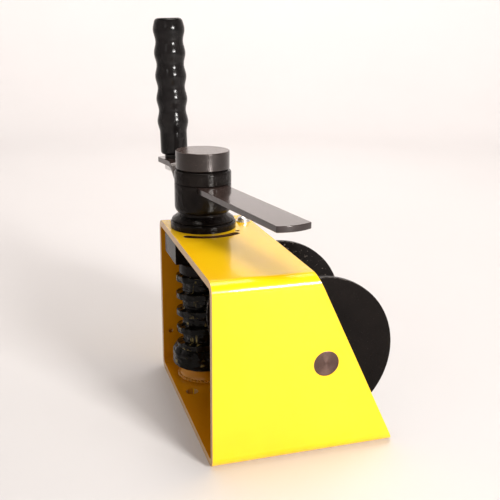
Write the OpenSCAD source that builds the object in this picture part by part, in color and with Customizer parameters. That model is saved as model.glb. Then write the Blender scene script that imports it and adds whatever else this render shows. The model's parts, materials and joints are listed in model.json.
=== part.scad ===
// Worm gear hand winch: folded steel housing, rope drum between two discs,
// upright worm driven by a clamped crank arm with a turning grip.
// Origin at the middle of the base's underside; +X points to the open back where
// the discs stand out, +Y to the worm's side, +Z up.

/* [Housing] */
// Depth of the base, front to back
base_d = 152; // [148:1:170]
// Depth of the top plate, front to back
top_d = 80.5; // [78:0.5:90]
// Width over both side plates
body_w = 197; // [196:1:210]
// Height of the housing
body_h = 150; // [150:1:160]
// Thickness of the folded sheet
sheet_t = 6; // [5:0.5:6]
// Outer radius of the four folds
bend_r = 10; // [8:1:12]

/* [Drum] */
// Radius of the two drum discs
disc_r = 63.4; // [58:0.1:64]
// Thickness of a drum disc
disc_t = 4; // [3:0.5:5]
// Clear width between the discs
drum_w = 99.6; // [90:0.1:100]
// Radius of the barrel that the rope winds on
barrel_r = 26; // [22:1:30]
// Diameter of the drum axle
axle_d = 20.4; // [18:0.2:22]
// Height of the drum axle above the base
axle_z = 77.9; // [75:0.1:80]

/* [Worm gear] */
// Number of teeth on the worm wheel
wheel_teeth = 13; // [13]
// Distance between the worm's axis and the drum's axis
centre_distance = 57.1; // [57.1]
// Face width of the worm wheel
wheel_face = 16; // [12:1:18]
// Outer radius of the worm thread
worm_r = 25.5; // [25:0.1:25.5]
// Diameter of the worm shaft
shaft_d = 20; // [18:1:22]

/* [Crank] */
// Width of the flat crank arm
arm_w = 29; // [24:1:30]
// Thickness of the flat crank arm
arm_t = 5; // [4:0.5:6]
// Reach of the arm's long end from the hub axis
arm_reach = 164; // [120:1:180]
// Distance from the hub axis to the grip axis
grip_throw = 67; // [60:1:80]
// Direction of the grip, measured from +X
arm_angle = 99.9; // [90:0.1:110]
// Length of the grip
grip_len = 124; // [100:1:130]
// Radius of the grip's ribs
grip_r = 14.5; // [13:0.5:16]
// Sideways lean of the grip, the slack of its spindle in the arm
grip_lean = 1.7; // [0:0.1:2]
// Radius of the crank hub
hub_r = 25.3; // [24:0.1:27]
// Radius of the clamp knob
knob_r = 23.8; // [20:0.1:26]

/* [Hidden] */
$fn = 96;

run_gap = 0.06;      // radial clearance of a shaft in its bore
face_gap = 0.3;      // gap between faces that turn past each other

// housing
front_x = -base_d / 2;
near_y = -body_w / 2;
far_y = body_w / 2;
inner_r = bend_r - sheet_t;
base_hole_r = 5.5;
base_hole_x = 64;         // holes lie this far before and behind the middle
base_hole_y = [-76, 22.4];

// drum, measured along Y
axle_x = 13.7;
near_disc_y = -80.7;
far_disc_y = near_disc_y + disc_t + drum_w;
inner_near_y = near_y + sheet_t;
inner_far_y = far_y - sheet_t;
barrel_wall = 11;
spacer_r = 17;

// worm and wheel
worm_x = axle_x - centre_distance;
worm_y = 59.2;
pitch_r = 34.1;                                  // of the wheel
pitch = 2 * PI * pitch_r / wheel_teeth;
worm_pitch_r = centre_distance - pitch_r;
worm_root_r = 20;
wheel_tip_r = 36.2;
wheel_root_r = 31;
wheel_near_y = worm_y - wheel_face / 2;
lead_angle = atan(pitch / (2 * PI * worm_pitch_r));
crest_w = 5;
flank = 20;                                      // slope of the tooth sides
worm_z0 = 37;
worm_z1 = 107.8;

// bearings along the worm shaft
lower_block_z = 19;
thrust_z = lower_block_z + 0.4;
thrust_r = 29.5;
block_z = 122.5;
block_w = 46.6;
block_x0 = 2;                                    // behind the housing's front edge
plate_z = body_h;
flange_h = 6.6;
flange_r = 29.3;
spigot_r = 22;
bush_wall = 3;

// crank hub and clamp
hub_z = plate_z + flange_h + 0.4;
arm_top = 190;
arm_bottom = arm_top - arm_t;
seam_z = arm_top + 0.4;
ring_top = 202.4;
knob_top = 219;
stud_r = 6;
clamp_screw_r = 3;
clamp_screw_off = 20;

// raised end of the crank arm
arm_rise = 12.6;
rise_from = 27;
rise_to = 45;
arm_end = 76.5;
raised_top = arm_top + arm_rise;
spindle_r = 5;
washer_h = 3;
grip_z = raised_top + washer_h + face_gap;
rib_pitch = 20.8;
rib_first = 30.7;
rib_count = 5;
valley_r = grip_r - 1.8;

// --- placement -----------------------------------------------------------

module on_worm_axis() {
    translate([worm_x, worm_y, 0]) children();
}

module along_y(y) {
    translate([axle_x, y, axle_z]) rotate([-90, 0, 0]) children();
}

// local +X runs from the hub axis towards the grip
module on_arm() {
    on_worm_axis() rotate([0, 0, arm_angle]) children();
}

module on_grip_axis() {
    on_arm() translate([grip_throw, 0, raised_top]) rotate([-grip_lean, 0, 0]) children();
}

module ring(r_out, r_in, h) {
    difference() {
        cylinder(r = r_out, h = h);
        translate([0, 0, -1]) cylinder(r = r_in, h = h + 2);
    }
}

module round_plate(w, h, r) {
    translate([r, 0]) square([w - 2 * r, h]);
    translate([0, r]) square([w, h - 2 * r]);
    for (x = [r, w - r], y = [r, h - r]) translate([x, y]) circle(r = r);
}

module hex_prism(flats, h) {
    cylinder(d = flats / cos(30), h = h, $fn = 6);
}

// --- fixed frame ---------------------------------------------------------

module side_profile() {
    rotate([90, 0, 0]) translate([front_x, 0, -body_w]) linear_extrude(2 * body_w)
        polygon([[0, 0], [base_d, 0], [top_d, body_h], [0, body_h]]);
}

module folded_ring() {
    translate([front_x, near_y, 0]) rotate([90, 0, 90]) linear_extrude(base_d)
        difference() {
            round_plate(body_w, body_h, bend_r);
            translate([sheet_t, sheet_t])
                round_plate(body_w - 2 * sheet_t, body_h - 2 * sheet_t, inner_r);
        }
}

// curved slot in the top plate, centred on the worm's axis
slot_r = 38;
slot_w = 7.6;
slot_from = 236;
slot_to = 304;
module curved_slot() {
    on_worm_axis() translate([0, 0, body_h - sheet_t - 1]) {
        rotate([0, 0, slot_from]) rotate_extrude(angle = slot_to - slot_from)
            translate([slot_r - slot_w / 2, 0]) square([slot_w, sheet_t + 2]);
        for (a = [slot_from, slot_to]) rotate([0, 0, a]) translate([slot_r, 0, 0])
            cylinder(r = slot_w / 2, h = sheet_t + 2);
    }
}

oil_hole_r = 2.2;
wall_hole = [-68.5, 37.8];   // small blind hole inside the far side plate
wall_hole_depth = 4;
bolt_off = [39.6, 6.2];      // block bolt from the worm's axis
oil_off = [25.2, -24.2];
module housing() {
    color([0.97, 0.92, 0.12]) difference() {
        intersection() {
            folded_ring();
            side_profile();
        }
        for (x = [-base_hole_x, base_hole_x], y = base_hole_y)
            translate([x, y, -1]) cylinder(r = base_hole_r, h = sheet_t + 2);
        along_y(near_y - 1) cylinder(r = axle_d / 2 + run_gap, h = body_w + 2);
        on_worm_axis() translate([0, 0, body_h - sheet_t - 1]) {
            cylinder(r = spigot_r, h = sheet_t + 2);
            translate(bolt_off) cylinder(r = 4.5, h = sheet_t + 2);
            translate(oil_off) cylinder(r = oil_hole_r, h = sheet_t + 2);
        }
        translate([wall_hole[0], inner_far_y - 1, wall_hole[1]])
            rotate([-90, 0, 0]) cylinder(r = oil_hole_r, h = wall_hole_depth + 1);
        curved_slot();
    }
}

bush_r = shaft_d / 2 + bush_wall;
module bearing_flange() {
    color([0.06, 0.06, 0.06]) on_worm_axis() rotate_extrude()
        polygon(concat(
            [[bush_r, plate_z - sheet_t], [spigot_r, plate_z - sheet_t], [spigot_r, plate_z],
             [flange_r, plate_z]],
            [for (a = [0 : 15 : 90]) [flange_r - 2 + 2 * cos(a), plate_z + flange_h - 2 + 2 * sin(a)]],
            [[bush_r, plate_z + flange_h]]
        ));
}

block_len = 77;
module upper_bearing_block() {
    color([0.1, 0.1, 0.1]) difference() {
        translate([front_x + block_x0, worm_y - block_w / 2, block_z])
            cube([block_len, block_w, plate_z - sheet_t - block_z]);
        on_worm_axis() {
            translate([0, 0, block_z - 1]) cylinder(r = bush_r, h = 40);
            translate([bolt_off[0], bolt_off[1], block_z + 4]) cylinder(r = 4, h = 40);
        }
    }
}

module upper_bush() {
    color([0.72, 0.52, 0.25]) on_worm_axis() translate([0, 0, block_z])
        ring(bush_r, shaft_d / 2 + run_gap, plate_z + flange_h - block_z);
}

lower_bush_r = 12;
journal_r = 9;
module lower_bearing_block() {
    color([0.9, 0.7, 0.05]) on_worm_axis() translate([0, 0, sheet_t]) difference() {
        rotate_extrude() polygon([[0, 0], [24, 0], [22, 4], [22, lower_block_z - sheet_t],
                                  [0, lower_block_z - sheet_t]]);
        translate([0, 0, 1]) cylinder(r = lower_bush_r, h = 40);
    }
}

module lower_bush() {
    color([0.72, 0.52, 0.25]) on_worm_axis() translate([0, 0, sheet_t + 1])
        ring(lower_bush_r, journal_r + run_gap, lower_block_z - sheet_t - 1);
}

bolt_head_r = 5.4;
bolt_washer_h = 1.4;
module block_bolt() {
    color([0.82, 0.82, 0.84]) on_worm_axis() translate([bolt_off[0], bolt_off[1], 0])
        difference() {
            union() {
                translate([0, 0, block_z + 5]) cylinder(r = 4, h = plate_z + 3 - block_z - 5);
                translate([0, 0, plate_z + bolt_washer_h]) rotate_extrude() polygon(concat(
                    [[0, 0], [bolt_head_r, 0], [bolt_head_r, 1.2]],
                    [for (a = [15 : 15 : 60]) [bolt_head_r * cos(a), 1.2 + 2.9 * sin(a)]],
                    [[2.7, 4.0], [0, 4.0]]));
            }
            translate([0, 0, plate_z + bolt_washer_h + 2]) hex_prism(4, 5);
        }
}

module block_bolt_washer() {
    color([0.78, 0.78, 0.8]) on_worm_axis()
        translate([bolt_off[0], bolt_off[1], plate_z]) ring(6.6, 4, bolt_washer_h);
}

// --- drum ----------------------------------------------------------------

module drum_axle() {
    color([0.3, 0.26, 0.24]) along_y(near_y + 0.2) difference() {
        cylinder(r = axle_d / 2, h = body_w - 0.4);
        translate([-3, -axle_d / 2 - 1, key_y]) cube([6, 4, key_len]);
    }
}

key_len = 14;
key_y = wheel_near_y - near_y - 0.2 + 1;
module wheel_key() {
    color([0.55, 0.55, 0.57]) along_y(near_y + 0.2)
        translate([-3, -axle_d / 2 - 2.5, key_y]) cube([6, 5.5, key_len]);
}

module drum_disc(y, rope_hole) {
    along_y(y) difference() {
        cylinder(r = disc_r, h = disc_t);
        translate([0, 0, -1]) cylinder(r = axle_d / 2, h = disc_t + 2);
        if (rope_hole) rotate([0, 0, clamp_angle]) {
            translate([rope_hole_off, 0, -1]) cylinder(r = 5, h = disc_t + 2);
            for (s = [-1, 1]) translate([clamp_off, 9 * s, -1]) cylinder(r = 2.5, h = disc_t + 2);
        }
    }
}

clamp_angle = 200;
rope_hole_off = 34;
clamp_off = 48;
module near_drum_disc() {
    color([0.07, 0.065, 0.06]) drum_disc(near_disc_y, true);
}

module far_drum_disc() {
    color([0.07, 0.065, 0.06]) drum_disc(far_disc_y, false);
}

module drum_barrel() {
    color([0.07, 0.065, 0.06]) along_y(near_disc_y + disc_t)
        ring(barrel_r, barrel_r - barrel_wall, drum_w);
}

module near_spacer() {
    spacer_len = near_disc_y - inner_near_y - face_gap;
    color([0.5, 0.5, 0.52]) along_y(inner_near_y + face_gap) difference() {
        ring(spacer_r, axle_d / 2, spacer_len);
        translate([0, 0, spacer_len / 2]) rotate([0, 90, 0]) cylinder(r = 2.5, h = 40);
    }
}

module far_spacer() {
    from = wheel_near_y + wheel_face;
    spacer_len = inner_far_y - face_gap - from;
    color([0.5, 0.5, 0.52]) along_y(from) difference() {
        ring(spacer_r, axle_d / 2, spacer_len);
        translate([0, 0, spacer_len / 2]) rotate([0, 90, 0]) cylinder(r = 2.5, h = 40);
    }
}

module spacer_set_screws() {
    far_from = wheel_near_y + wheel_face;
    middles = [(near_disc_y + inner_near_y + face_gap) / 2, (far_from + inner_far_y - face_gap) / 2];
    color([0.2, 0.2, 0.2]) for (y = middles)
        along_y(y) rotate([0, 90, 0]) translate([0, 0, axle_d / 2]) cylinder(r = 2.5, h = 5.5);
}

module wheel_spacer() {
    color([0.5, 0.5, 0.52]) along_y(far_disc_y + disc_t)
        ring(22, axle_d / 2, wheel_near_y - far_disc_y - disc_t);
}

// outline of the wheel: each tooth has straight sides
tip_half = 2.65;
root_half = tip_half + (wheel_tip_r - wheel_root_r) * tan(flank);
function tooth_angle(w, r) = asin(w / r);
function tooth_points(a) = [
    for (e = [[-root_half, wheel_root_r], [-tip_half, wheel_tip_r],
              [tip_half, wheel_tip_r], [root_half, wheel_root_r]])
        e[1] * [cos(a + tooth_angle(e[0], e[1])), sin(a + tooth_angle(e[0], e[1]))]
];
wheel_phase = 180 / wheel_teeth;
module worm_wheel() {
    twist = wheel_face * tan(lead_angle) / pitch_r * 180 / PI;
    color([0.62, 0.48, 0.25]) along_y(wheel_near_y) difference() {
        rotate([0, 0, 180 + wheel_phase + twist / 2])
            linear_extrude(wheel_face, twist = twist, slices = 4)
                polygon([for (i = [0 : wheel_teeth - 1]) each tooth_points(i * 360 / wheel_teeth)]);
        translate([0, 0, -1]) cylinder(r = axle_d / 2, h = wheel_face + 2);
        translate([-3, -axle_d / 2 - 2.5, -1]) cube([6, 6, wheel_face + 2]);
    }
}
module rope_clamp() {
    color([0.6, 0.6, 0.62]) along_y(near_disc_y - 4) rotate([0, 0, clamp_angle]) difference() {
        translate([clamp_off - 6, -15, 0]) cube([12, 30, 4]);
        for (s = [-1, 1]) translate([clamp_off, 9 * s, -1]) cylinder(r = 2.5, h = 6);
        translate([clamp_off - 7, 0, 4.5]) rotate([0, 90, 0]) cylinder(r = 3, h = 14);
    }
}

module rope_clamp_screws() {
    color([0.75, 0.75, 0.77]) along_y(near_disc_y - 4) rotate([0, 0, clamp_angle])
        for (s = [-1, 1]) translate([clamp_off, 9 * s, 0]) {
            cylinder(r = 2.5, h = 8);
            translate([0, 0, -3.5]) hex_prism(8, 3.5);
        }
}

// --- worm, shaft and hub -------------------------------------------------

shaft_top = arm_bottom - 1;
module worm_shaft() {
    color([0.45, 0.45, 0.47]) on_worm_axis() difference() {
        union() {
            translate([0, 0, sheet_t + 1.4]) cylinder(r = journal_r, h = shaft_top - sheet_t - 1.4);
            translate([0, 0, thrust_z]) cylinder(r = shaft_d / 2, h = shaft_top - thrust_z);
        }
        translate([-3, shaft_d / 2 - 3, hub_z + 3]) cube([6, 4, hub_key_len]);
    }
}

hub_key_len = 22;
module hub_key() {
    color([0.55, 0.55, 0.57]) on_worm_axis()
        translate([-3, shaft_d / 2 - 3, hub_z + 3]) cube([6, 6, hub_key_len]);
}

// worm thread: a trapezoid carried round the helix, cut flat at both ends
seg = 10;                                        // degrees a step
crest_z = axle_z - 2 * pitch;                    // a crest at this height faces the axle
run_out = 4.4;
first_step = floor((worm_z0 - run_out - crest_z) / pitch * 360 / seg);
last_step = ceil((worm_z1 + run_out - crest_z) / pitch * 360 / seg);
function thread_ring(i) =
    let(a = i * seg, z = crest_z + pitch * i * seg / 360, r0 = worm_root_r - 1,
        half_top = crest_w / 2, half_low = half_top + (worm_r - r0) * tan(flank))
    [for (e = [[r0, z - half_low], [worm_r, z - half_top], [worm_r, z + half_top], [r0, z + half_low]])
        [e[0] * cos(a), e[0] * sin(a), e[1]]];
module thread() {
    steps = last_step - first_step;
    points = [for (i = [first_step : last_step]) each thread_ring(i)];
    sides = [for (i = [0 : steps - 1], k = [0 : 3])
        each [[4 * i + k, 4 * i + (k + 1) % 4, 4 * (i + 1) + k],
              [4 * i + (k + 1) % 4, 4 * (i + 1) + (k + 1) % 4, 4 * (i + 1) + k]]];
    last = 4 * steps;
    polyhedron(points, concat([[0, 3, 2], [0, 2, 1]], sides,
        [[last, last + 1, last + 2], [last, last + 2, last + 3]]), convexity = 10);
}

module worm() {
    color([0.09, 0.085, 0.08]) on_worm_axis() difference() {
        union() {
            translate([0, 0, worm_z0]) cylinder(r = worm_root_r, h = worm_z1 - worm_z0);
            intersection() {
                thread();
                translate([0, 0, worm_z0]) cylinder(r = worm_r + 1, h = worm_z1 - worm_z0);
            }
        }
        translate([0, 0, worm_z0 - 5]) cylinder(r = shaft_d / 2, h = worm_z1 - worm_z0 + 10);
    }
}

module thrust_disc() {
    color([0.08, 0.08, 0.08]) on_worm_axis() difference() {
        rotate_extrude() polygon([[0, thrust_z], [thrust_r, thrust_z], [thrust_r, 32],
                                  [25.5, worm_z0], [0, worm_z0]]);
        cylinder(r = shaft_d / 2, h = 60);
    }
}

collar_h = 5;
collar_z = 108;
collar_r = 22.6;
module shaft_collar() {
    color([0.12, 0.12, 0.12]) on_worm_axis() difference() {
        translate([0, 0, collar_z]) ring(collar_r, shaft_d / 2, collar_h + 4);
        translate([0, 0, collar_z + 4.5]) rotate([0, 90, 0]) cylinder(r = 2.5, h = 40);
    }
}

module collar_set_screw() {
    color([0.2, 0.2, 0.2]) on_worm_axis() translate([0, 0, collar_z + 4.5])
        rotate([0, 90, 0]) translate([0, 0, shaft_d / 2]) cylinder(r = 2.5, h = 9);
}

neck_r = 22;
module hub_body() {
    rotate_extrude() polygon(concat(
        [[0, hub_z], [27.6, hub_z], [28, hub_z + 0.8], [27.4, hub_z + 1.8],
         [neck_r + 0.6, hub_z + 5.2], [neck_r, hub_z + 6.2], [neck_r, hub_z + 7.2]],
        [for (a = [0 : 15 : 90])
            [neck_r + (hub_r - neck_r) * sin(a), hub_z + 7.6 + 5.4 * (1 - cos(a))]],
        [[hub_r, seam_z - 0.8], [hub_r - 0.8, seam_z], [0, seam_z]]
    ));
}

slot_clear = 0.25;
module crank_hub() {
    color([0.05, 0.05, 0.05]) difference() {
        on_worm_axis() difference() {
            hub_body();
            translate([0, 0, hub_z - 1]) cylinder(r = shaft_d / 2, h = shaft_top - hub_z + 1);
            translate([-3, 0, hub_z - 1]) cube([6, shaft_d / 2 + 3, hub_key_len + 4]);
        }
        on_arm() {
            translate([-hub_r - 1, -arm_w / 2 - slot_clear, arm_bottom - slot_clear])
                cube([2 * hub_r + 2, arm_w + 2 * slot_clear, 20]);
            for (s = [-1, 1]) translate([0, s * clamp_screw_off, seam_z - 16])
                cylinder(r = clamp_screw_r, h = 20);
        }
    }
}

module clamp_ring() {
    color([0.05, 0.05, 0.05]) difference() {
        on_worm_axis() rotate_extrude() polygon(concat(
            [[stud_r, seam_z], [hub_r - 0.8, seam_z], [hub_r, seam_z + 0.8]],
            [for (a = [0 : 15 : 90]) [hub_r - 3 + 3 * cos(a), ring_top - 3 + 3 * sin(a)]],
            [[stud_r, ring_top]]));
        on_arm() for (s = [-1, 1]) translate([0, s * clamp_screw_off, seam_z - 1]) {
            cylinder(r = clamp_screw_r, h = 20);
            translate([0, 0, 7]) cylinder(r = 4.9, h = 20);
        }
    }
}

module clamp_ring_screws() {
    color([0.16, 0.16, 0.16]) on_arm() for (s = [-1, 1])
        translate([0, s * clamp_screw_off, 0]) difference() {
            union() {
                translate([0, 0, seam_z - 15]) cylinder(r = clamp_screw_r, h = 22);
                translate([0, 0, seam_z + 6]) cylinder(r = 4.6, h = 5.4);
            }
            translate([0, 0, seam_z + 8.4]) hex_prism(5, 5);
        }
}

knob_z = ring_top + 0.4;
module clamp_knob() {
    color([0.27, 0.24, 0.23]) on_worm_axis() rotate_extrude() polygon(concat(
        [[stud_r, knob_z], [knob_r - 1, knob_z], [knob_r, knob_z + 1]],
        [for (a = [0 : 15 : 90]) [knob_r - 0.9 + 0.9 * cos(a), knob_top - 0.9 + 0.9 * sin(a)]],
        [[0, knob_top], [0, knob_top - 4], [stud_r, knob_top - 4]]));
}

module clamp_stud() {
    color([0.5, 0.5, 0.52]) on_worm_axis() translate([0, 0, arm_top + 0.2])
        cylinder(r = stud_r - run_gap, h = knob_top - 4 - arm_top - 0.2);
}

// --- crank arm and grip --------------------------------------------------

// side view of the arm: flat, a rise past the hub, then flat again
bend_steps = 6;
function rise_at(t) = arm_rise * (1 - cos(180 * t)) / 2;
function arm_line(z) = concat(
    [[-arm_reach, z]],
    [for (i = [0 : bend_steps])
        [rise_from + (rise_to - rise_from) * i / bend_steps, z + rise_at(i / bend_steps)]],
    [[arm_end, z + arm_rise]]);
function reversed(list) = [for (i = [len(list) - 1 : -1 : 0]) list[i]];
end_r = 34;           // large radius of the arm's slightly rounded ends
module arm_plan() {
    middle = arm_reach + arm_end - 16;
    intersection() {
        union() {
            translate([8 - arm_reach, -arm_w / 2]) square([middle, arm_w]);
            translate([end_r - arm_reach, 0]) circle(r = end_r);
            translate([arm_end - end_r, 0]) circle(r = end_r);
        }
        translate([-arm_reach, -arm_w / 2]) square([arm_reach + arm_end, arm_w]);
    }
}

module crank_arm() {
    color([0.1, 0.09, 0.085]) on_arm() difference() {
        intersection() {
            rotate([90, 0, 0]) translate([0, 0, -arm_w / 2 - 1]) linear_extrude(arm_w + 2)
                polygon(concat(arm_line(arm_bottom), reversed(arm_line(arm_top))));
            translate([0, 0, arm_bottom - 5]) linear_extrude(40) arm_plan();
        }
        translate([grip_throw, 0, raised_top - 20]) cylinder(r = spindle_r + 0.4, h = 40);
    }
}

spindle_low = -arm_t - 6.5;
spindle_top = grip_len - 10;
module grip_spindle() {
    color([0.4, 0.4, 0.42]) on_grip_axis() {
        translate([0, 0, spindle_low - 1]) cylinder(r = spindle_r, h = spindle_top - spindle_low + 1);
        translate([0, 0, spindle_top - 2]) cylinder(r = 7.5, h = 4);
    }
}

module spindle_washer() {
    color([0.15, 0.15, 0.15]) on_grip_axis() translate([0, 0, 0.35])
        ring(9, spindle_r, washer_h - 0.35);
}

module spindle_nut() {
    color([0.5, 0.5, 0.52]) on_grip_axis() translate([0, 0, spindle_low - 0.3]) difference() {
        hex_prism(17, 5.8);
        translate([0, 0, -1]) cylinder(r = spindle_r, h = 10);
    }
}

// outline of the grip: rounded foot, ribs as cosine waves, rounded top
rib_steps = 10;
cap_r = 8.5;
function grip_rib(z) =
    let(d = z - rib_first, k = rib_count - 1)
    d < -rib_pitch / 2 ? valley_r :
    valley_r + (grip_r - valley_r) * (1 + cos(360 * d / rib_pitch)) / 2;
grip_base = washer_h + face_gap;
wave_from = rib_first - rib_pitch / 2;
wave_to = rib_first + (rib_count - 1) * rib_pitch + rib_pitch / 4;
foot_r = 2.5;
head_r = 3;
module grip() {
    steps = round((wave_to - wave_from) / rib_pitch * rib_steps);
    top_r = grip_rib(wave_to);
    color([0.06, 0.055, 0.055]) on_grip_axis() translate([0, 0, grip_base]) rotate_extrude()
        polygon(concat(
            [[spindle_r + run_gap, 0]],
            [for (a = [0 : 22.5 : 90]) [valley_r - foot_r + foot_r * sin(a), foot_r - foot_r * cos(a)]],
            [for (i = [0 : steps])
                let(z = wave_from + (wave_to - wave_from) * i / steps) [grip_rib(z), z]],
            [for (a = [0 : 22.5 : 90]) [top_r - head_r + head_r * cos(a),
                                        grip_len - head_r + head_r * sin(a)]],
            [[cap_r, grip_len], [cap_r, spindle_top - grip_base - 2.5],
             [spindle_r + run_gap, spindle_top - grip_base - 2.5]]));
}

module grip_cap() {
    color([0.06, 0.055, 0.055]) on_grip_axis() translate([0, 0, grip_base + grip_len - 4.5])
        rotate_extrude() polygon([[0, 0], [cap_r, 0], [cap_r, 3.6], [cap_r - 0.6, 4.2], [0, 4.2]]);
}

housing();
bearing_flange();
upper_bearing_block();
upper_bush();
lower_bearing_block();
lower_bush();
block_bolt();
block_bolt_washer();
drum_axle();
drum_barrel();
near_drum_disc();
far_drum_disc();
near_spacer();
far_spacer();
wheel_spacer();
worm_wheel();
wheel_key();
spacer_set_screws();
rope_clamp();
rope_clamp_screws();
worm_shaft();
worm();
thrust_disc();
shaft_collar();
collar_set_screw();
crank_hub();
hub_key();
clamp_ring();
clamp_ring_screws();
clamp_knob();
clamp_stud();
crank_arm();
grip_spindle();
spindle_washer();
spindle_nut();
grip();
grip_cap();
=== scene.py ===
import json
from math import cos, pi, radians, sin, tau

import bmesh
import bpy
from mathutils import Matrix, Vector


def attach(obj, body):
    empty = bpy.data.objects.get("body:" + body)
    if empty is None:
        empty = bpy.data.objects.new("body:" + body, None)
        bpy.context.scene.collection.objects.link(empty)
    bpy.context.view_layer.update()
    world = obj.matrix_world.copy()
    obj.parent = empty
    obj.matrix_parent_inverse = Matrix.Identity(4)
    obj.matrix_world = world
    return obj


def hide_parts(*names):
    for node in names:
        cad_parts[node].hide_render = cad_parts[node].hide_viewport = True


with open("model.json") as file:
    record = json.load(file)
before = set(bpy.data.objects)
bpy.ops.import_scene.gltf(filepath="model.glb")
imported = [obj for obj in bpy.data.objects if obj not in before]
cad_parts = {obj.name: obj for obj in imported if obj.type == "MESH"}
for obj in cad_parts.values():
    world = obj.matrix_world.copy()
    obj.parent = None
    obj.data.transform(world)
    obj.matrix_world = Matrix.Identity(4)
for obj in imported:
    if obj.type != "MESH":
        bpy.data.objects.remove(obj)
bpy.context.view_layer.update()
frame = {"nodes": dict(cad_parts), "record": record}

mm = 0.001
bodyOf = {node: body for body, names in frame["record"]["behaviour"]["bodies"].items() for node in names}
slotOf = {part["node"]: part["material_slot"] for part in frame["record"]["subparts"]}
joints = {joint["name"]: joint for joint in frame["record"]["behaviour"]["joints"]}
print("frame loaded:", len(bodyOf), "nodes")


# small helpers for objects and meshes
def newObject(name, data):
    item = bpy.data.objects.new(name, data)
    bpy.context.collection.objects.link(item)
    return item


def smoothAll(mesh):
    for polygon in mesh.polygons:
        polygon.use_smooth = True


# small helpers for node trees
def addNode(tree, kind, inputs=None, **settings):
    node = tree.nodes.new(kind)
    for name, value in settings.items():
        setattr(node, name, value)
    for key, value in (inputs or {}).items():
        socket = node.inputs[key]
        if isinstance(value, bpy.types.NodeSocket):
            tree.links.new(value, socket)
        else:
            socket.default_value = value
    return node


def maths(tree, operation, first, second=0.0, third=0.0, clamp=False):
    terms = {0: first, 1: second, 2: third}
    return addNode(tree, "ShaderNodeMath", terms, operation=operation, use_clamp=clamp).outputs[0]


def vectors(tree, operation, first, second):
    return addNode(tree, "ShaderNodeVectorMath", {0: first, 1: second}, operation=operation).outputs[0]


def dotted(tree, first, second):
    node = addNode(tree, "ShaderNodeVectorMath", {0: first, 1: second}, operation="DOT_PRODUCT")
    return node.outputs["Value"]


def lengthOf(tree, vector):
    return addNode(tree, "ShaderNodeVectorMath", {0: vector}, operation="LENGTH").outputs["Value"]


def partOf(tree, vector, axis):
    return addNode(tree, "ShaderNodeSeparateXYZ", {0: vector}).outputs[axis]


def noiseOf(tree, coords, scale, detail=2.0, rough=0.5):
    sizes = {"Vector": coords, "Scale": scale, "Detail": detail, "Roughness": rough}
    return addNode(tree, "ShaderNodeTexNoise", sizes).outputs[0]


def stretched(tree, coords, scale):
    return addNode(tree, "ShaderNodeMapping", {"Vector": coords, "Scale": scale}).outputs[0]


def between(tree, value, low, high):  # 0 below low, 1 above high
    sizes = {"Value": value, "From Min": low, "From Max": high}
    return addNode(tree, "ShaderNodeMapRange", sizes, clamp=True).outputs[0]


def spread(tree, value, low, high):  # 0..1 to low..high
    return addNode(tree, "ShaderNodeMapRange", {"Value": value, "To Min": low, "To Max": high}).outputs[0]


def evened(tree, noise):  # a noise's middle values, opened out to 0..1
    return between(tree, noise, 0.3, 0.7)


def mixed(tree, factor, first, second):
    node = addNode(tree, "ShaderNodeMix", {"Factor": factor}, data_type="RGBA")
    for socket, value in ((node.inputs[6], first), (node.inputs[7], second)):
        if isinstance(value, bpy.types.NodeSocket):
            tree.links.new(value, socket)
        else:
            socket.default_value = (*value, 1)
    return node.outputs[2]


def newFinish(name, metallic=0.0, specular=0.5, coat=0.0, coatRoughness=0.1, tint=(1, 1, 1)):
    finish = bpy.data.materials.new(name)
    finish.use_nodes = True
    tree = finish.node_tree
    tree.nodes.clear()
    shader = addNode(tree, "ShaderNodeBsdfPrincipled", {
        "Metallic": metallic, "Specular IOR Level": specular, "Specular Tint": (*tint, 1),
        "Coat Weight": coat, "Coat Roughness": coatRoughness})
    out = addNode(tree, "ShaderNodeOutputMaterial", {"Surface": shader.outputs[0]})
    coords = addNode(tree, "ShaderNodeTexCoord").outputs["Object"]
    return finish, tree, shader, coords


flatCosine, cornerCosine = 0.985, 0.86  # of the angle between a face and its rounded normal


def edgeMask(tree, radius):  # bright along sharp outer edges
    soft = addNode(tree, "ShaderNodeBevel", {"Radius": radius}, samples=4).outputs[0]
    hard = addNode(tree, "ShaderNodeNewGeometry").outputs["Normal"]
    return between(tree, dotted(tree, soft, hard), flatCosine, cornerCosine)


def feed(tree, shader, colour, roughness, height, depth):
    tree.links.new(colour, shader.inputs["Base Color"])
    tree.links.new(roughness, shader.inputs["Roughness"])
    bump = addNode(tree, "ShaderNodeBump", {"Height": height, "Distance": depth, "Strength": 1.0})
    tree.links.new(bump.outputs[0], shader.inputs["Normal"])


# yellow enamel over folded sheet, with bare cut edges
yellowLook = {
    "fresh": (0.93, 0.565, 0.005), "deep": (0.90, 0.50, 0.003), "cut": (0.64, 0.40, 0.16),
    # the tint for the inner faces, on the next line, is a painted shade
    "cutDark": (0.50, 0.29, 0.10), "innerShade": (0.62, 0.40, 0.30), "middle": (0, 0, 0.075),
    "broadSize": 14, "broadBand": (0.35, 0.65), "scuffSize": 240, "scuffBand": (0.5, 0.68),
    "grainSize": 700, "peelSize": 260, "peelDepth": 0.00008,
    "roughness": (0.16, 0.26), "specular": 0.32, "coat": 0.36, "coatRoughness": 0.03,
    "wearWidth": 0.0009, "wear": 0.7, "cutAcross": 0.55, "cutRough": 0.25,
    "axis": tuple(joints["crank_turn"]["pos_m"]), "plateMiddle": 0.147, "plateHalf": 0.0029,
    # the dark brown for the slot's walls, on the next line, is a painted shade
    "bendStart": 0.087, "slotReach": 0.047, "slotShade": (0.045, 0.02, 0.008),
    "wallUpright": 0.6, "wallAcross": 0.8,
}


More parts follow.
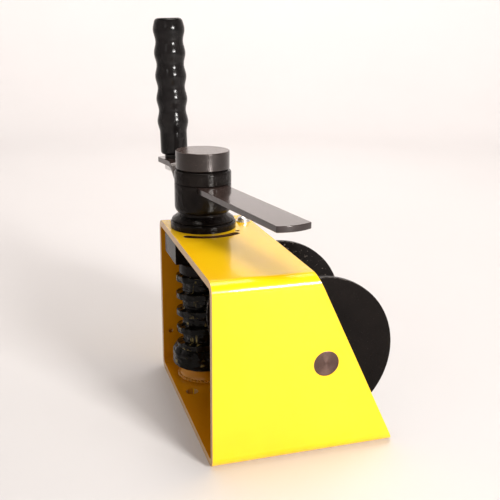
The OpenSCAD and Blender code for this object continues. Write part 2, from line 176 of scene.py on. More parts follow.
def yellowEnamel(name, look, cutEdges=True):
    gloss = {key: look[key] for key in ("specular", "coat", "coatRoughness")}
    finish, tree, shader, coords = newFinish(name, **gloss)
    broad = noiseOf(tree, coords, look["broadSize"], 4)
    peel = noiseOf(tree, coords, look["peelSize"], 2)
    paint = mixed(tree, between(tree, broad, *look["broadBand"]), look["deep"], look["fresh"])
    facing = addNode(tree, "ShaderNodeTexCoord").outputs["Normal"]
    across = maths(tree, "ABSOLUTE", partOf(tree, facing, "X"))
    scuff = noiseOf(tree, coords, look["scuffSize"], 6, 0.7)
    scuffed = between(tree, scuff, *look["scuffBand"])
    wear = maths(tree, "MULTIPLY", edgeMask(tree, look["wearWidth"]), scuffed)
    colour = mixed(tree, maths(tree, "MULTIPLY", wear, look["wear"]), paint, look["cut"])
    if not cutEdges:
        feed(tree, shader, colour, spread(tree, broad, *look["roughness"]), peel, look["peelDepth"])
        return finish
    # the inner faces, whose normals point at the middle, are painted darker and browner: a painted shade
    outward = dotted(tree, vectors(tree, "SUBTRACT", coords, look["middle"]), facing)
    inward = maths(tree, "LESS_THAN", outward, 0)
    colour = mixed(tree, inward, colour, vectors(tree, "MULTIPLY", colour, look["innerShade"]))
    cutFace = maths(tree, "GREATER_THAN", across, look["cutAcross"])
    grain = noiseOf(tree, coords, look["grainSize"], 4, 0.6)
    edgeTone = mixed(tree, evened(tree, grain), look["cutDark"], look["cut"])
    colour = mixed(tree, cutFace, colour, edgeTone)
    # walls of the slot and holes near the crank's axis, in the top plate, get a dark brown painted shade
    flat = vectors(tree, "MULTIPLY", vectors(tree, "SUBTRACT", coords, look["axis"]), (1, 1, 0))
    upright = maths(tree, "ABSOLUTE", partOf(tree, facing, "Z"))
    slotShaded = maths(tree, "COMPARE", partOf(tree, coords, "Z"), look["plateMiddle"], look["plateHalf"])
    limits = (
        (lengthOf(tree, flat), look["slotReach"]), (upright, look["wallUpright"]),
        (across, look["wallAcross"]), (partOf(tree, coords, "Y"), look["bendStart"]))
    for value, limit in limits:
        slotShaded = maths(tree, "MULTIPLY", slotShaded, maths(tree, "LESS_THAN", value, limit))
    colour = mixed(tree, slotShaded, colour, look["slotShade"])
    rough = spread(tree, broad, *look["roughness"])
    rough = maths(tree, "ADD", rough, maths(tree, "MULTIPLY", cutFace, look["cutRough"]), clamp=True)
    height = maths(tree, "ADD", peel, maths(tree, "MULTIPLY", grain, cutFace))
    feed(tree, shader, colour, rough, height, look["peelDepth"])
    return finish


# black paints, gloss or satin, with worn edges, dust nibs and settled dust; the lighter upward faces also
# carry a painted sheen, and on the discs the pale edges and specks are partly painted highlights and glints
paintGrain = {
    "broadSize": 30, "finer": 2.7, "fineDepth": 0.25, "scuffSize": 300, "scuffBand": (0.42, 0.62),
    "speckRough": 0.2, "speckBand": (0.66, 0.74), "dustAndGlintColour": (0.32, 0.26, 0.22),
    # the pinkish colour of upward faces, on the next line, is settled dust and a painted sheen
    "upwardBand": (0.6, 0.9), "dustAndSheenColour": (0.36, 0.25, 0.22),
}


def blackPaint(name, look):
    gloss = {key: look[key] for key in ("specular", "coat", "coatRoughness", "tint")}
    finish, tree, shader, coords = newFinish(name, **gloss)
    broad = noiseOf(tree, coords, paintGrain["broadSize"], 4)
    peel = noiseOf(tree, coords, look["peelSize"], 2)
    fine = noiseOf(tree, coords, look["peelSize"] * paintGrain["finer"], 3)
    paint = mixed(tree, evened(tree, broad), look["deep"], look["worn"])
    scuff = noiseOf(tree, coords, paintGrain["scuffSize"], 6, 0.7)
    scuffed = between(tree, scuff, *paintGrain["scuffBand"])
    # worn edges; on the discs the pale edge colour also stands in for a painted rim highlight
    wear = maths(tree, "MULTIPLY", edgeMask(tree, look["edge"]), scuffed)
    wear = maths(tree, "MULTIPLY", wear, look["edgeWearAndRimLight"])
    colour = mixed(tree, wear, paint, look["edgeTone"])
    # pale specks: dust, and on the far disc painted glints
    dustAndGlints = between(tree, noiseOf(tree, coords, look["speckSize"], 3, 0.6), *paintGrain["speckBand"])
    colour = mixed(tree, maths(tree, "MULTIPLY", dustAndGlints, look["dustAndGlints"]), colour, paintGrain["dustAndGlintColour"])
    # upward faces are lightened: settled dust, and a painted sheen on the knob's and bar's tops
    facing = addNode(tree, "ShaderNodeTexCoord").outputs["Normal"]
    upward = between(tree, partOf(tree, facing, "Z"), *paintGrain["upwardBand"])
    dustAndSheen = maths(tree, "MULTIPLY", upward, look["dustAndSheen"])
    colour = mixed(tree, dustAndSheen, colour, paintGrain["dustAndSheenColour"])
    speckRoughening = maths(tree, "MULTIPLY", dustAndGlints, paintGrain["speckRough"])
    rough = maths(tree, "ADD", spread(tree, broad, *look["roughness"]), speckRoughening)
    height = maths(tree, "ADD", peel, maths(tree, "MULTIPLY", fine, paintGrain["fineDepth"]))
    height = maths(tree, "ADD", height, maths(tree, "MULTIPLY", dustAndGlints, look["nib"]))
    feed(tree, shader, colour, rough, height, look["peelDepth"])
    return finish


glossBlackLook = {
    "deep": (0.004, 0.003, 0.003), "worn": (0.009, 0.007, 0.006), "edgeTone": (0.12, 0.10, 0.09),
    "peelSize": 230, "peelDepth": 0.00070, "roughness": (0.10, 0.18), "specular": 0.10,
    "coat": 0.05, "coatRoughness": 0.06, "tint": (1, 0.95, 0.92), "edge": 0.0007,
    "edgeWearAndRimLight": 0.25, "dustAndGlints": 0.08, "speckSize": 900, "nib": 0, "dustAndSheen": 0,
}
satinBlackLook = {
    "deep": (0.0032, 0.0024, 0.0022), "worn": (0.007, 0.0053, 0.0046), "edgeTone": (0.16, 0.13, 0.11),
    "peelSize": 340, "peelDepth": 0.00020, "roughness": (0.16, 0.28), "specular": 0.08,
    "coat": 0.02, "coatRoughness": 0.12, "tint": (1, 0.93, 0.90), "edge": 0.0008,
    "edgeWearAndRimLight": 0.4, "dustAndGlints": 0.15, "speckSize": 900, "nib": 0, "dustAndSheen": 0,
}
# the near disc: worn edges in a pale colour, partly wear and partly a painted rim highlight
discLook = {
    **satinBlackLook, "edgeTone": (0.62, 0.56, 0.50), "edgeWearAndRimLight": 0.9, "dustAndGlints": 0.05, "nib": 2.5,
    "roughness": (0.08, 0.14), "specular": 0.05, "coat": 0.03, "coatRoughness": 0.05,
}
# the far disc: pale specks and a pale dotted rim, painted glints
glintSpeckLook = {
    **satinBlackLook, "edgeTone": (0.80, 0.74, 0.68), "edgeWearAndRimLight": 1, "dustAndGlints": 0.9,
    "speckSize": 420, "nib": 2.5,
}
knobLook = {
    "deep": (0.006, 0.004, 0.0033), "worn": (0.011, 0.0075, 0.006), "edgeTone": (0.20, 0.16, 0.14),
    "peelSize": 700, "peelDepth": 0.00008, "roughness": (0.20, 0.30), "specular": 0.5,
    "coat": 0.3, "coatRoughness": 0.12, "tint": (1, 0.87, 0.84), "edge": 0.0006,
    "edgeWearAndRimLight": 0.3, "dustAndGlints": 0.3, "speckSize": 900, "nib": 0, "dustAndSheen": 0.2,
}
armLook = {
    "deep": (0.007, 0.0035, 0.003), "worn": (0.014, 0.007, 0.006), "edgeTone": (0.40, 0.27, 0.21),
    "peelSize": 380, "peelDepth": 0.00006, "roughness": (0.11, 0.18), "specular": 0.35,
    "coat": 0.7, "coatRoughness": 0.10, "tint": (1, 0.84, 0.80), "edge": 0.0005,
    "edgeWearAndRimLight": 0.6, "dustAndGlints": 0.2, "speckSize": 900, "nib": 0, "dustAndSheen": 0.12,
}


# grease over the black worm: wet, lumpy, with yellowed smears
greaseLook = {
    "deep": (0.0035, 0.0030, 0.0022), "smear": (0.34, 0.27, 0.10), "smearShare": 0.75,
    "lumpSize": 120, "lumpStretch": (1, 1, 1.6), "lumpDepth": 0.0030,
    "stringSize": 110, "stringStretch": (2.2, 2.2, 0.5), "stringDepth": 0.15,
    "smearBand": (0.60, 0.68), "lumpBand": (0.48, 0.62), "edge": 0.0012, "edgeBand": (0.5, 0.6),
    "roughness": (0.07, 0.16), "specular": 0.12,
}


def greased(look):
    finish, tree, shader, coords = newFinish("greasedPaint", specular=look["specular"])
    lumps = noiseOf(tree, stretched(tree, coords, look["lumpStretch"]), look["lumpSize"], 1, 0.4)
    strings = noiseOf(tree, stretched(tree, coords, look["stringStretch"]), look["stringSize"], 2, 0.5)
    dragged = between(tree, strings, *look["smearBand"])
    smear = maths(tree, "MULTIPLY", dragged, between(tree, lumps, *look["lumpBand"]))
    scraped = between(tree, strings, *look["edgeBand"])
    onEdge = maths(tree, "MULTIPLY", edgeMask(tree, look["edge"]), scraped)
    smear = maths(tree, "MAXIMUM", smear, onEdge)
    colour = mixed(tree, maths(tree, "MULTIPLY", smear, look["smearShare"]), look["deep"], look["smear"])
    height = maths(tree, "ADD", lumps, maths(tree, "MULTIPLY", strings, look["stringDepth"]))
    feed(tree, shader, colour, spread(tree, strings, *look["roughness"]), height, look["lumpDepth"])
    return finish


# bare metals, with fine lines, blotches and stains
metalGrain = {
    "blotchSize": 90, "stainSize": 210, "stainBand": (0.56, 0.72), "stainRough": 0.15,
    "edge": 0.0006, "edgeShine": 0.5,
}


def bareMetal(name, look):
    finish, tree, shader, coords = newFinish(name, metallic=look["metallic"])
    lines = noiseOf(tree, stretched(tree, coords, look["along"]), look["lineSize"], 3)
    blotch = noiseOf(tree, coords, metalGrain["blotchSize"], 5, 0.6)
    colour = mixed(tree, evened(tree, blotch), look["dark"], look["light"])
    spots = noiseOf(tree, coords, metalGrain["stainSize"], 6, 0.7)
    stain = between(tree, spots, *metalGrain["stainBand"])
    colour = mixed(tree, maths(tree, "MULTIPLY", stain, look["stain"]), colour, look["stainColour"])
    shine = maths(tree, "MULTIPLY", edgeMask(tree, metalGrain["edge"]), metalGrain["edgeShine"])
    colour = mixed(tree, shine, colour, look["light"])
    dull = maths(tree, "MULTIPLY", stain, metalGrain["stainRough"])
    rough = maths(tree, "ADD", spread(tree, lines, *look["roughness"]), dull)
    feed(tree, shader, colour, rough, lines, look["depth"])
    return finish


steelLook = {
    "metallic": 1.0, "dark": (0.16, 0.13, 0.12), "light": (0.36, 0.32, 0.30), "stain": 0.5,
    "stainColour": (0.09, 0.055, 0.035), "roughness": (0.28, 0.46), "depth": 0.00006,
    "along": (1, 1, 1), "lineSize": 900,
}
zincLook = {
    "metallic": 1.0, "dark": (0.58, 0.57, 0.56), "light": (0.86, 0.86, 0.86), "stain": 0.25,
    "stainColour": (0.40, 0.36, 0.30), "roughness": (0.26, 0.42), "depth": 0.00004,
    "along": (1, 1, 1), "lineSize": 1100,
}
bronzeLook = {
    "metallic": 1.0, "dark": (0.30, 0.17, 0.06), "light": (0.58, 0.37, 0.15), "stain": 0.5,
    "stainColour": (0.13, 0.08, 0.04), "roughness": (0.25, 0.42), "depth": 0.00005,
    "along": (1, 6, 1), "lineSize": 500,
}
oxideLook = {
    "metallic": 0.85, "dark": (0.030, 0.028, 0.027), "light": (0.075, 0.07, 0.066), "stain": 0.3,
    "stainColour": (0.09, 0.05, 0.03), "roughness": (0.32, 0.5), "depth": 0.00005,
    "along": (1, 1, 1), "lineSize": 1000,
}


# the axle's turned end, rings about its centre
axleLook = {
    "dark": (0.060, 0.034, 0.029), "light": (0.145, 0.092, 0.078), "metallic": 0.9,
    "ringWave": 14400, "ringShare": 0.35, "blotchSize": 260, "blotchShare": 0.8,
    "roughness": (0.3, 0.5), "depth": 0.00005,
}


def turnedEnd(look):
    finish, tree, shader, coords = newFinish("turnedEnd", metallic=look["metallic"])
    centre = tuple(-place for place in joints["drum_turn"]["pos_m"])
    about = addNode(tree, "ShaderNodeMapping", {"Vector": coords, "Location": centre}).outputs[0]
    reach = lengthOf(tree, vectors(tree, "MULTIPLY", about, (1, 0, 1)))
    rings = maths(tree, "SINE", maths(tree, "MULTIPLY", reach, look["ringWave"]))
    rings = maths(tree, "MULTIPLY_ADD", rings, 0.5, 0.5)
    blotch = noiseOf(tree, coords, look["blotchSize"], 5, 0.6)
    patches = maths(tree, "MULTIPLY", blotch, look["blotchShare"])
    tone = maths(tree, "MULTIPLY_ADD", rings, look["ringShare"], patches, clamp=True)
    colour = mixed(tree, tone, look["dark"], look["light"])
    feed(tree, shader, colour, spread(tree, blotch, *look["roughness"]), rings, look["depth"])
    return finish


# moulded grip, a little shiny, more so where it is handled
gripLook = {
    "deep": (0.004, 0.0035, 0.0035), "worn": (0.009, 0.0075, 0.0075), "broadSize": 40,
    "handled": (0.02, 0.017, 0.016), "handledSize": 75, "handledBand": (0.5, 0.7),
    "handledShare": 0.3, "handledGloss": 0.05,
    "skinSize": 1600, "skinDepth": 0.00007, "roughness": (0.13, 0.20),
    "specular": 0.12, "coat": 0.12, "coatRoughness": 0.05,
}


def mouldedPlastic(look):
    gloss = {key: look[key] for key in ("specular", "coat", "coatRoughness")}
    finish, tree, shader, coords = newFinish("mouldedPlastic", **gloss)
    broad = noiseOf(tree, coords, look["broadSize"], 4)
    skin = noiseOf(tree, coords, look["skinSize"], 3)
    colour = mixed(tree, evened(tree, broad), look["deep"], look["worn"])
    touched = noiseOf(tree, coords, look["handledSize"], 5, 0.6)
    handled = between(tree, touched, *look["handledBand"])
    colour = mixed(tree, maths(tree, "MULTIPLY", handled, look["handledShare"]), colour, look["handled"])
    polish = maths(tree, "MULTIPLY", handled, look["handledGloss"])
    rough = maths(tree, "SUBTRACT", spread(tree, skin, *look["roughness"]), polish)
    feed(tree, shader, colour, rough, skin, look["skinDepth"])
    return finish


finishes = {
    "yellow_paint": yellowEnamel("yellowEnamel", yellowLook),
    "gloss_black_paint": blackPaint("glossBlackPaint", glossBlackLook),
    "satin_black_paint": blackPaint("satinBlackPaint", satinBlackLook),
    "black_bar_paint": blackPaint("barPaint", armLook),
    "bronze": bareMetal("bronze", bronzeLook),
    "zinc_plate": bareMetal("zincPlate", zincLook),
    "turned_steel": bareMetal("turnedSteel", steelLook),
    "black_oxide": bareMetal("blackOxide", oxideLook),
    "grip_plastic": mouldedPlastic(gripLook),
}
# the boss inside the housing takes a darker, browner yellow: a painted shade
bossShadeLook = {**yellowLook, "fresh": (0.58, 0.24, 0.004), "deep": (0.52, 0.20, 0.003)}
ownFinishes = {  # of single nodes, in place of their slot's finish
    "clamp_knob": blackPaint("knobPaint", knobLook),
    "near_drum_disc": blackPaint("discPaint", discLook),
    "far_drum_disc": blackPaint("glintSpeckPaint", glintSpeckLook),
    "lower_bearing_block": yellowEnamel("bossShadedEnamel", bossShadeLook, cutEdges=False),
    "thrust_disc": greased(greaseLook),
    "drum_axle": turnedEnd(axleLook),
}
greaseFinish = ownFinishes["thrust_disc"]
print("finishes made:", len(finishes) + len(ownFinishes))


# pieces taken from the frame's own shapes, with broken edges
breakSizes = {"merge": 0.000002, "flatter": 0.6, "segments": 2, "fromAngle": 32, "weight": 100}


def softened(node, width, segments):
    source = frame["nodes"][node]
    mesh = source.data.copy()
    mesh.transform(source.matrix_world)
    work = bmesh.new()
    work.from_mesh(mesh)
    bmesh.ops.remove_doubles(work, verts=work.verts, dist=breakSizes["merge"])
    bmesh.ops.dissolve_limit(
        work, angle_limit=radians(breakSizes["flatter"]), verts=work.verts, edges=work.edges)
    work.to_mesh(mesh)
    work.free()
    smoothAll(mesh)
    mesh.materials.clear()
    mesh.materials.append(ownFinishes.get(node) or finishes[slotOf[node]])
    piece = newObject(node + "_made", mesh)
    bevel = piece.modifiers.new("brokenEdges", "BEVEL")
    bevel.width = width * mm
    bevel.segments = segments
    bevel.limit_method = "ANGLE"
    bevel.angle_limit = radians(breakSizes["fromAngle"])
    piece.modifiers.new("flatFaces", "WEIGHTED_NORMAL").weight = breakSizes["weight"]
    ready = bpy.context.evaluated_depsgraph_get()
    fixed = bpy.data.meshes.new_from_object(
        piece.evaluated_get(ready), preserve_all_data_layers=True, depsgraph=ready)
    piece.modifiers.clear()
    piece.data = fixed
    placeOn(piece, node)


def placeOn(piece, node):
    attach(piece, bodyOf[node])
    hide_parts(node)


softWidths = {
    "housing": 0.35, "bearing_flange": 0.3, "upper_bearing_block": 0.6,
    "block_bolt": 0.2, "block_bolt_washer": 0.3, "near_spacer": 0.4, "far_spacer": 0.4, "wheel_spacer": 0.4,
    "worm_wheel": 0.4, "rope_clamp": 0.4, "rope_clamp_screws": 0.3,
    "shaft_collar": 0.5, "crank_hub": 0.25, "clamp_ring": 0.25, "clamp_ring_screws": 0.2,
    "crank_arm": 0.5, "spindle_washer": 0.3, "spindle_nut": 0.3, "worm_shaft": 0.3,
    "clamp_knob": 0.25, "drum_axle": 0.5, "lower_bearing_block": 0.4, "thrust_disc": 0.8,
    "near_drum_disc": 0.5, "far_drum_disc": 0.5,
}
softSegments = {"thrust_disc": 3}
for node, width in softWidths.items():
    softened(node, width, softSegments.get(node, breakSizes["segments"]))
print("edges broken on", len(softWidths), "pieces")


# geometry trees, and the plain pieces that they grow into
def groupTree(name, *sockets):
    tree = bpy.data.node_groups.new(name, "GeometryNodeTree")
    for socket in sockets:
        kind = "NodeSocketInt" if socket == "Count" else "NodeSocketFloat"
        tree.interface.new_socket(socket, in_out="INPUT", socket_type=kind)
    tree.interface.new_socket("Finish", in_out="INPUT", socket_type="NodeSocketMaterial")
    tree.interface.new_socket("Geometry", in_out="OUTPUT", socket_type="NodeSocketGeometry")
    return tree, addNode(tree, "NodeGroupInput").outputs


def closeTree(tree, shape, given):
    smooth = addNode(tree, "GeometryNodeSetShadeSmooth", {"Geometry": shape}).outputs[0]
    real = addNode(tree, "GeometryNodeRealizeInstances", {"Geometry": smooth}).outputs[0]
    dressed = {"Geometry": real, "Material": given["Finish"]}
    done = addNode(tree, "GeometryNodeSetMaterial", dressed).outputs[0]
    tree.links.new(done, addNode(tree, "NodeGroupOutput").inputs["Geometry"])
    return tree


def grown(name, tree, values):  # runs a tree on an empty mesh and keeps the plain result
    seed = newObject(name, bpy.data.meshes.new(name))
    modifier = seed.modifiers.new("grow", "NODES")
    modifier.node_group = tree
    for item in tree.interface.items_tree:
        if item.in_out == "INPUT" and item.name in values:
            modifier[item.identifier] = values[item.name]
    seed.update_tag()
    ready = bpy.context.evaluated_depsgraph_get()
    mesh = bpy.data.meshes.new_from_object(seed.evaluated_get(ready))
    seed.modifiers.clear()
    seed.data = mesh
    return seed


def metres(sizes, *sockets):  # a socket such as First Swell takes the size called firstSwell
    keys = {socket: socket[0].lower() + socket[1:].replace(" ", "") for socket in sockets}
    return {socket: sizes[key] * mm for socket, key in keys.items()}


def joined(tree, x, y, z):
    return addNode(tree, "ShaderNodeCombineXYZ", {"X": x, "Y": y, "Z": z}).outputs[0]


# the grip: five swells along its length
gripSizes = {
    "valley": 12.7, "swell": 1.8, "pitch": 20.8, "firstSwell": 30.7, "length": 124,
    "foot": 2.6, "head": 3.2, "lift": 3.3, "around": 96, "along": 248, "endRings": 6,
}
gripSockets = ("Valley", "Swell", "Pitch", "First Swell", "Length", "Foot", "Head")


def gripTree(sizes):
    tree, given = groupTree("gripSwells", *gripSockets)
    rod = addNode(tree, "GeometryNodeMeshCylinder", {
        "Vertices": sizes["around"], "Side Segments": sizes["along"], "Fill Segments": sizes["endRings"],
        "Radius": 1.0, "Depth": given["Length"]}, fill_type="NGON").outputs["Mesh"]
    place = addNode(tree, "GeometryNodeInputPosition").outputs[0]
    axes = addNode(tree, "ShaderNodeSeparateXYZ", {0: place}).outputs
    height = maths(tree, "ADD", axes["Z"], maths(tree, "MULTIPLY", given["Length"], 0.5))
    past = maths(tree, "SUBTRACT", height, given["First Swell"])
    turn = maths(tree, "MULTIPLY", maths(tree, "DIVIDE", past, given["Pitch"]), tau)
    wave = maths(tree, "MULTIPLY_ADD", maths(tree, "COSINE", turn), 0.5, 0.5)
    # the swells begin half a pitch below the middle of the first
    begun = maths(tree, "GREATER_THAN", past, maths(tree, "MULTIPLY", given["Pitch"], -0.5))
    swell = maths(tree, "MULTIPLY", maths(tree, "MULTIPLY", wave, begun), given["Swell"])
    radius = maths(tree, "ADD", given["Valley"], swell)

    def rounding(distance, size):
        short = maths(tree, "MAXIMUM", maths(tree, "SUBTRACT", size, distance), 0.0)
        squares = maths(tree, "SUBTRACT", maths(tree, "MULTIPLY", size, size),
                        maths(tree, "MULTIPLY", short, short))
        arc = maths(tree, "SQRT", maths(tree, "MAXIMUM", squares, 0.0))
        return maths(tree, "SUBTRACT", size, arc)

    radius = maths(tree, "SUBTRACT", radius, rounding(height, given["Foot"]))
    toTop = maths(tree, "SUBTRACT", given["Length"], height)
    radius = maths(tree, "SUBTRACT", radius, rounding(toTop, given["Head"]))
    moved = joined(tree, maths(tree, "MULTIPLY", axes["X"], radius),
                   maths(tree, "MULTIPLY", axes["Y"], radius), height)
    shaped = addNode(tree, "GeometryNodeSetPosition", {"Geometry": rod, "Position": moved}).outputs[0]
    return closeTree(tree, shaped, given)


def axisTurn(direction):
    return direction.to_track_quat("Z", "Y").to_matrix().to_4x4()


spin = joints["grip_spin"]
gripAxis = Vector(spin["axis"]).normalized()
gripFoot = Vector(spin["pos_m"])
gripPiece = grown("ribbedGrip", gripTree(gripSizes), {
    **metres(gripSizes, *gripSockets), "Finish": finishes["grip_plastic"]})
gripPlace = Matrix.Translation(gripFoot + gripAxis * gripSizes["lift"] * mm)
gripPiece.data.transform(gripPlace @ axisTurn(gripAxis))
placeOn(gripPiece, "grip")
print("grip made:", len(gripPiece.data.polygons), "faces")


# the worm: a rounded thread wound on its core, at the wheel's tooth pitch
crankCentre = Vector(joints["crank_turn"]["pos_m"])
wheelSizes = {"pitchRadius": 34.1, "teeth": 13}
wormSizes = {
    "pitch": tau * wheelSizes["pitchRadius"] / wheelSizes["teeth"], "core": 20, "outer": 25.45,
    "crest": 5.0, "foot": 9.0, "crestAt": 77.9, "round": 0.9, "bottom": 37.05, "top": 107.75,
    "flatShare": 0.46, "sideShare": 0.96, "along": 505, "over": 25, "chamfer": 0.5, "chamferRise": 0.6,
    "around": 96,
}
wormSockets = ("Core", "Outer", "Crest", "Foot", "Pitch", "Crest At", "Bottom", "Top", "Round")


def threadTree(sizes):
    tree, given = groupTree("threadWinding", *wormSockets)
    # a flat strip of squares, wound round the axis: u runs along the thread, v over its profile
    strip = addNode(tree, "GeometryNodeMeshGrid", {
        "Size X": 1.0, "Size Y": 1.0, "Vertices X": sizes["along"], "Vertices Y": sizes["over"]})
    place = addNode(tree, "GeometryNodeInputPosition").outputs[0]
    along = maths(tree, "ADD", partOf(tree, place, "X"), 0.5)
    over = maths(tree, "MULTIPLY", partOf(tree, place, "Y"), 2.0)  # -1 to 1
    out = maths(tree, "ABSOLUTE", over)
    # profile: a flat crest to flatShare, a bent side down to the core by sideShare, then a sunk edge
    side = between(tree, out, sizes["flatShare"], sizes["sideShare"])
    bent = addNode(tree, "ShaderNodeMapRange", {"Value": side}, interpolation_type="SMOOTHSTEP").outputs[0]
    tall = maths(tree, "SUBTRACT", given["Outer"], given["Core"])
    rise = maths(tree, "MULTIPLY", tall, maths(tree, "SUBTRACT", 1.0, bent))
    sunk = maths(tree, "MULTIPLY", between(tree, out, sizes["sideShare"], 1.0), given["Round"])
    radius = maths(tree, "SUBTRACT", maths(tree, "ADD", given["Core"], rise), sunk)
    halfCrest = maths(tree, "MULTIPLY", given["Crest"], 0.5)
    halfFoot = maths(tree, "MULTIPLY", given["Foot"], 0.5)
    flat = maths(tree, "MINIMUM", maths(tree, "DIVIDE", out, sizes["flatShare"]), 1.0)
    flat = maths(tree, "MULTIPLY", flat, halfCrest)
    slope = maths(tree, "MULTIPLY", side, maths(tree, "SUBTRACT", halfFoot, halfCrest))
    away = maths(tree, "MULTIPLY", maths(tree, "ADD", flat, slope), maths(tree, "SIGN", over))
    lowest = maths(tree, "SUBTRACT", given["Bottom"], halfFoot)
    highest = maths(tree, "ADD", given["Top"], halfFoot)
    climb = maths(tree, "MULTIPLY_ADD", along, maths(tree, "SUBTRACT", highest, lowest), lowest)
    turn = maths(tree, "DIVIDE", maths(tree, "SUBTRACT", climb, given["Crest At"]), given["Pitch"])
    angle = maths(tree, "MULTIPLY", turn, tau)
    level = maths(tree, "MAXIMUM", maths(tree, "ADD", climb, away), given["Bottom"])
    level = maths(tree, "MINIMUM", level, given["Top"])  # both ends are cut flat
    moved = joined(tree, maths(tree, "MULTIPLY", maths(tree, "COSINE", angle), radius),
                   maths(tree, "MULTIPLY", maths(tree, "SINE", angle), radius), level)
    laid = {"Geometry": strip.outputs["Mesh"], "Position": moved}
    return closeTree(tree, addNode(tree, "GeometryNodeSetPosition", laid).outputs[0], given)


# rings of points about an upright axis, and the faces between each ring and the next
def ringPoints(outline, around):
    turns = [tau * step / around for step in range(around)]
    return [(r * cos(turn), r * sin(turn), z) for r, z in outline for turn in turns]


def ringFaces(count, around, first=0):
    faces = []
    for low in range(first, first + (count - 1) * around, around):
        for step in range(around):
            after = (step + 1) % around
            faces.append((low + step, low + after, low + around + after, low + around + step))
    return faces


def turnedShape(name, outline, finish, around):  # outline of (radius, height) in mm
    mesh = bpy.data.meshes.new(name)
    verts = [(x * mm, y * mm, z * mm) for x, y, z in ringPoints(outline, around)]
    faces = ringFaces(len(outline), around)
    faces.append(tuple(reversed(range(around))))
    faces.append(tuple(range(len(verts) - around, len(verts))))
    mesh.from_pydata(verts, [], faces)
    mesh.materials.append(finish)
    smoothAll(mesh)
    mesh.transform(Matrix.Translation((crankCentre.x, crankCentre.y, 0)))
    mesh.set_sharp_from_angle(angle=radians(35))
    return newObject(name, mesh)


threadPiece = grown("wormThread", threadTree(wormSizes), {
    **metres(wormSizes, *wormSockets), "Finish": greaseFinish})
threadPiece.data.transform(Matrix.Translation((crankCentre.x, crankCentre.y, 0)))
placeOn(threadPiece, "worm")
bottom, top = wormSizes["bottom"], wormSizes["top"]
full = wormSizes["core"]
narrow, rise = full - wormSizes["chamfer"], wormSizes["chamferRise"]
coreOutline = [(narrow, bottom), (full, bottom + rise), (full, top - rise), (narrow, top)]
placeOn(turnedShape("wormCore", coreOutline, greaseFinish, wormSizes["around"]), "worm")
print("worm wound:", len(threadPiece.data.polygons), "faces")


# the lower bearing's boss is welded to the base; the bead shares the boss's painted shade
beadSizes = {
    "radius": 23.2, "size": 1.9, "count": 46, "lift": 6.5, "roundness": 3, "squat": (1.15, 1.0, 0.8),
    "least": 0.82, "most": 1.12, "seed": 7,
}


def beadTree(sizes):
    tree, given = groupTree("weldBead", "Radius", "Size", "Count")
    path = addNode(tree, "GeometryNodeCurvePrimitiveCircle", {
        "Resolution": given["Count"], "Radius": given["Radius"]})
    drop = addNode(tree, "GeometryNodeMeshIcoSphere", {
        "Radius": given["Size"], "Subdivisions": sizes["roundness"]}).outputs["Mesh"]
    squat = addNode(tree, "GeometryNodeTransform", {"Geometry": drop, "Scale": sizes["squat"]}).outputs[0]
    limits = {"Min": sizes["least"], "Max": sizes["most"], "Seed": sizes["seed"]}
    grow = addNode(tree, "FunctionNodeRandomValue", limits, data_type="FLOAT")
    spots = addNode(tree, "GeometryNodeInstanceOnPoints", {
        "Points": path.outputs["Curve"], "Instance": squat, "Scale": grow.outputs["Value"]}).outputs[0]
    return closeTree(tree, spots, given)


bead = grown("weldBead", beadTree(beadSizes), {
    **metres(beadSizes, "Radius", "Size"), "Count": beadSizes["count"],
    "Finish": ownFinishes["lower_bearing_block"]})
bead.data.transform(Matrix.Translation((crankCentre.x, crankCentre.y, beadSizes["lift"] * mm)))
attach(bead, bodyOf["lower_bearing_block"])
print("weld bead laid")


# everything else keeps the frame's own shape
for node, item in frame["nodes"].items():
    for holder in item.material_slots:
        holder.material = finishes[slotOf[node]]


# floor, light and camera, in metres
studio = {
    "world": (0.95, 0.93, 0.92), "worldPower": 0.15,
    "eye": (-0.2008, -0.5866, 0.3264), "heading": 0.303, "tilt": -0.291, "roll": 0.010,
    "lens": 54.696, "sensor": 36, "nearest": 0.01,
}
floorSizes = {
    "radius": 2.3, "corner": 0.7, "wallHeight": 2.2, "firstRing": 0.35, "cornerSteps": 16,
    "around": 128, "drop": 0.0002,
}
floorLook = {
    "colour": (0.64, 0.62, 0.62), "paler": 1.04, "specular": 0.3, "broadSize": 3, "fineSize": 300,
    "roughness": (0.5, 0.65), "depth": 0.00003,
}
lamps = {
    "key": {"place": (0.58, -1.61, 0.73), "target": (0, 0, 0.1), "size": (0.40, 0.34),
            "power": 44, "colour": (1, 0.985, 0.955)},
    "above": {"place": (0.1, 0.1, 2.1), "target": (0, 0, 0), "size": (1.0, 1.0),
              "power": 21, "colour": (1, 0.95, 0.88)},
    "glint": {"place": (-0.75, -0.75, 0.75), "target": (-0.05, 0.05, 0.07), "size": (0.035, 0.035),
              "power": 0.4, "colour": (1, 0.98, 0.95)},
    "wash": {"place": (0.3, 0.7, 1.9), "target": (0.7, 2.2, 0.9), "size": (1.2, 1.0),
             "power": 35, "colour": (1, 0.95, 0.91)},
}


def floorFinish(look):
    finish, tree, shader, coords = newFinish("paleFloor", specular=look["specular"])
    broad = noiseOf(tree, coords, look["broadSize"], 3)
    fine = noiseOf(tree, coords, look["fineSize"], 3)
    pale = tuple(channel * look["paler"] for channel in look["colour"])
    colour = mixed(tree, broad, look["colour"], pale)
    feed(tree, shader, colour, spread(tree, fine, *look["roughness"]), fine, look["depth"])
    return finish


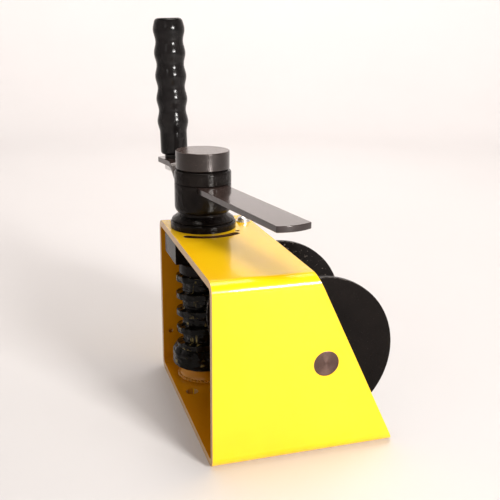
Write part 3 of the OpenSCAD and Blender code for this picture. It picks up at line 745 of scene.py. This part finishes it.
def sweepFloor(sizes):  # a round floor that curves up into a wall
    radius, corner = sizes["radius"], sizes["corner"]
    steps, around = sizes["cornerSteps"], sizes["around"]
    profile = [(sizes["firstRing"] * radius, 0), (radius - corner, 0)]
    for step in range(1, steps + 1):
        angle = pi / 2 * step / steps
        profile.append((radius - corner + corner * sin(angle), corner - corner * cos(angle)))
    profile.append((radius, sizes["wallHeight"]))
    faces = [(0, 1 + step, 1 + (step + 1) % around) for step in range(around)]
    faces += [face[::-1] for face in ringFaces(len(profile), around, first=1)]
    mesh = bpy.data.meshes.new("floor")
    mesh.from_pydata([(0, 0, 0)] + ringPoints(profile, around), [], faces)
    smoothAll(mesh)
    mesh.materials.append(floorFinish(floorLook))
    floor = newObject("floor", mesh)
    floor.location.z = -sizes["drop"]


def areaLight(name, place, target, size, power, colour):  # the lamp points at its target
    data = bpy.data.lights.new(name, "AREA")
    data.shape = "RECTANGLE"
    data.size, data.size_y = size
    data.energy = power
    data.color = colour
    lamp = newObject(name, data)
    lamp.location = place
    lamp.rotation_euler = (Vector(target) - Vector(place)).to_track_quat("-Z", "Y").to_euler()


def setCamera():
    yaw, pitch, roll = studio["heading"], studio["tilt"], studio["roll"]
    ahead = Vector((sin(yaw) * cos(pitch), cos(yaw) * cos(pitch), sin(pitch)))
    right = Vector((cos(yaw), -sin(yaw), 0))
    up = right.cross(ahead)
    side = right * cos(roll) + up * sin(roll)
    top = up * cos(roll) - right * sin(roll)
    data = bpy.data.cameras.new("camera")
    data.sensor_width = studio["sensor"]
    data.lens = studio["lens"]
    data.clip_start = studio["nearest"]
    camera = newObject("camera", data)
    turn = Matrix((side, top, -ahead)).transposed().to_4x4()
    camera.matrix_world = Matrix.Translation(Vector(studio["eye"])) @ turn
    bpy.context.scene.camera = camera


sweepFloor(floorSizes)
setCamera()
for name, lamp in lamps.items():
    areaLight(name, **lamp)
world = bpy.data.worlds.new("world")
bpy.context.scene.world = world
world.use_nodes = True
sky = world.node_tree.nodes["Background"]
sky.inputs["Color"].default_value = (*studio["world"], 1)
sky.inputs["Strength"].default_value = studio["worldPower"]
bpy.context.scene.view_settings.view_transform = "Standard"
print("studio set")
